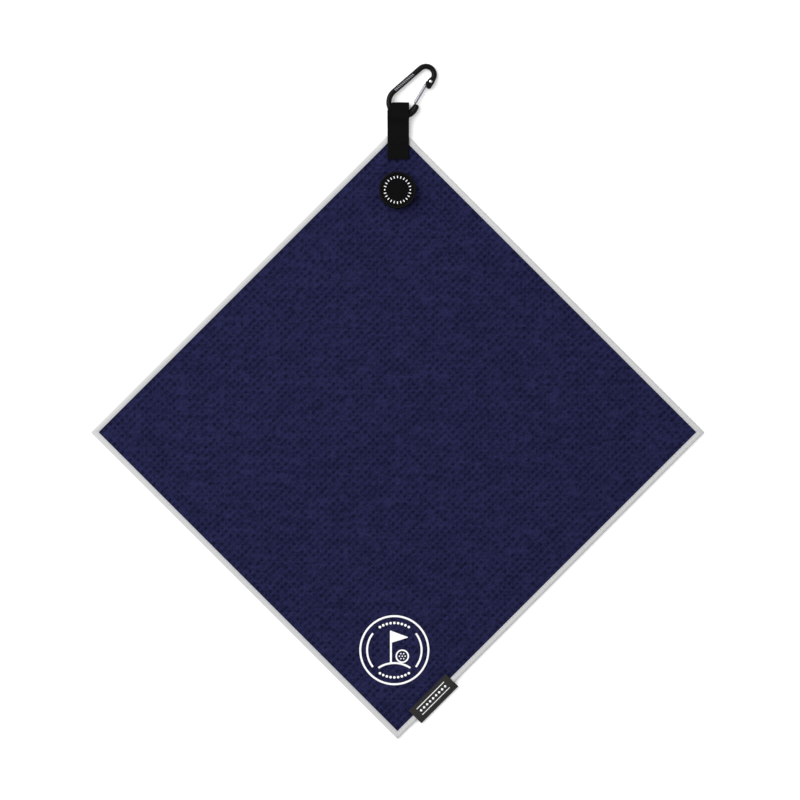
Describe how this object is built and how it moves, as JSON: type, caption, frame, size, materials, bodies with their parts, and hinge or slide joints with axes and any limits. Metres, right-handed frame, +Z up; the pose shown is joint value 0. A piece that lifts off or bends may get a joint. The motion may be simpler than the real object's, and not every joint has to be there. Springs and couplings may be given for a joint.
{
  "type": "golf towel",
  "caption": "Square waffle towel with bound edges, a webbing loop with a snap hook on one corner, and a removable magnetic patch.",
  "frame": {"origin": "centre of the towel on its underside, which is the surface that it lies on", "axes": "+Z up out of the towel's face, +Y towards the corner with the hanging loop, +X towards the right corner"},
  "size_m": [0.4478, 0.4934, 0.0089],
  "materials": {
    "waffle_cloth": "navy waffle-weave microfibre, matt with a soft sheen",
    "binding_tape": "light grey ribbed polyester tape",
    "label_weave": "charcoal damask label weave",
    "black_webbing": "black woven webbing",
    "loop_fabric": "brushed nylon loop",
    "hook_fabric": "nylon hook tape",
    "patch_plastic": "matt moulded",
    "keeper_steel": "zinc-plated steel",
    "magnet_plating": "nickel-plated magnet",
    "patch_rubber": "soft black moulded rubber",
    "hook_anodised": "black anodised",
    "gate_metal": "polished bare metal",
    "rivet_metal": "bright rivet",
    "spring_wire": "drawn spring wire"
  },
  "bodies": {
    "towel": {"towel_cloth": "waffle_cloth", "edge_binding": "binding_tape", "edge_label": "label_weave", "strap_front_leg": "black_webbing", "strap_back_leg": "black_webbing", "loop_disc": "loop_fabric"},
    "loop": {"strap_loop": "black_webbing"},
    "carabiner": {"carabiner_body": "hook_anodised", "gate_rivet": "rivet_metal", "gate_spring": "spring_wire"},
    "gate": {"carabiner_gate": "gate_metal"},
    "patch": {"hook_disc": "hook_fabric", "patch_base": "patch_plastic", "keeper_plate": "keeper_steel", "magnet_disc": "magnet_plating", "patch_cover": "patch_rubber"}
  },
  "joints": [
    {"name": "loop_flex", "type": "hinge", "parent": "towel", "child": "loop", "pos_m": [0.00055, 0.22701, 0.0055], "axis": [1, 0, 0], "range_deg": [0, 90]},
    {"name": "carabiner_swivel", "type": "hinge", "parent": "loop", "child": "carabiner", "pos_m": [0.004, 0.24121, 0.00334], "axis": [0.0254, 0.0305, 0.9992], "range_deg": [-25, 45]},
    {"name": "gate_hinge", "type": "hinge", "parent": "carabiner", "child": "gate", "pos_m": [0.02432, 0.25629, 0.00236], "axis": [-0.0254, -0.0305, -0.9992], "range_deg": [0, 35], "stiffness_Nm_per_rad": 0.02, "springref_deg": -20.05, "deforming": ["gate_spring"]},
    {"name": "patch_pull_off", "type": "slide", "parent": "towel", "child": "patch", "axis": [0, 0, 1], "range_m": [0, 0.03]}
  ]
}
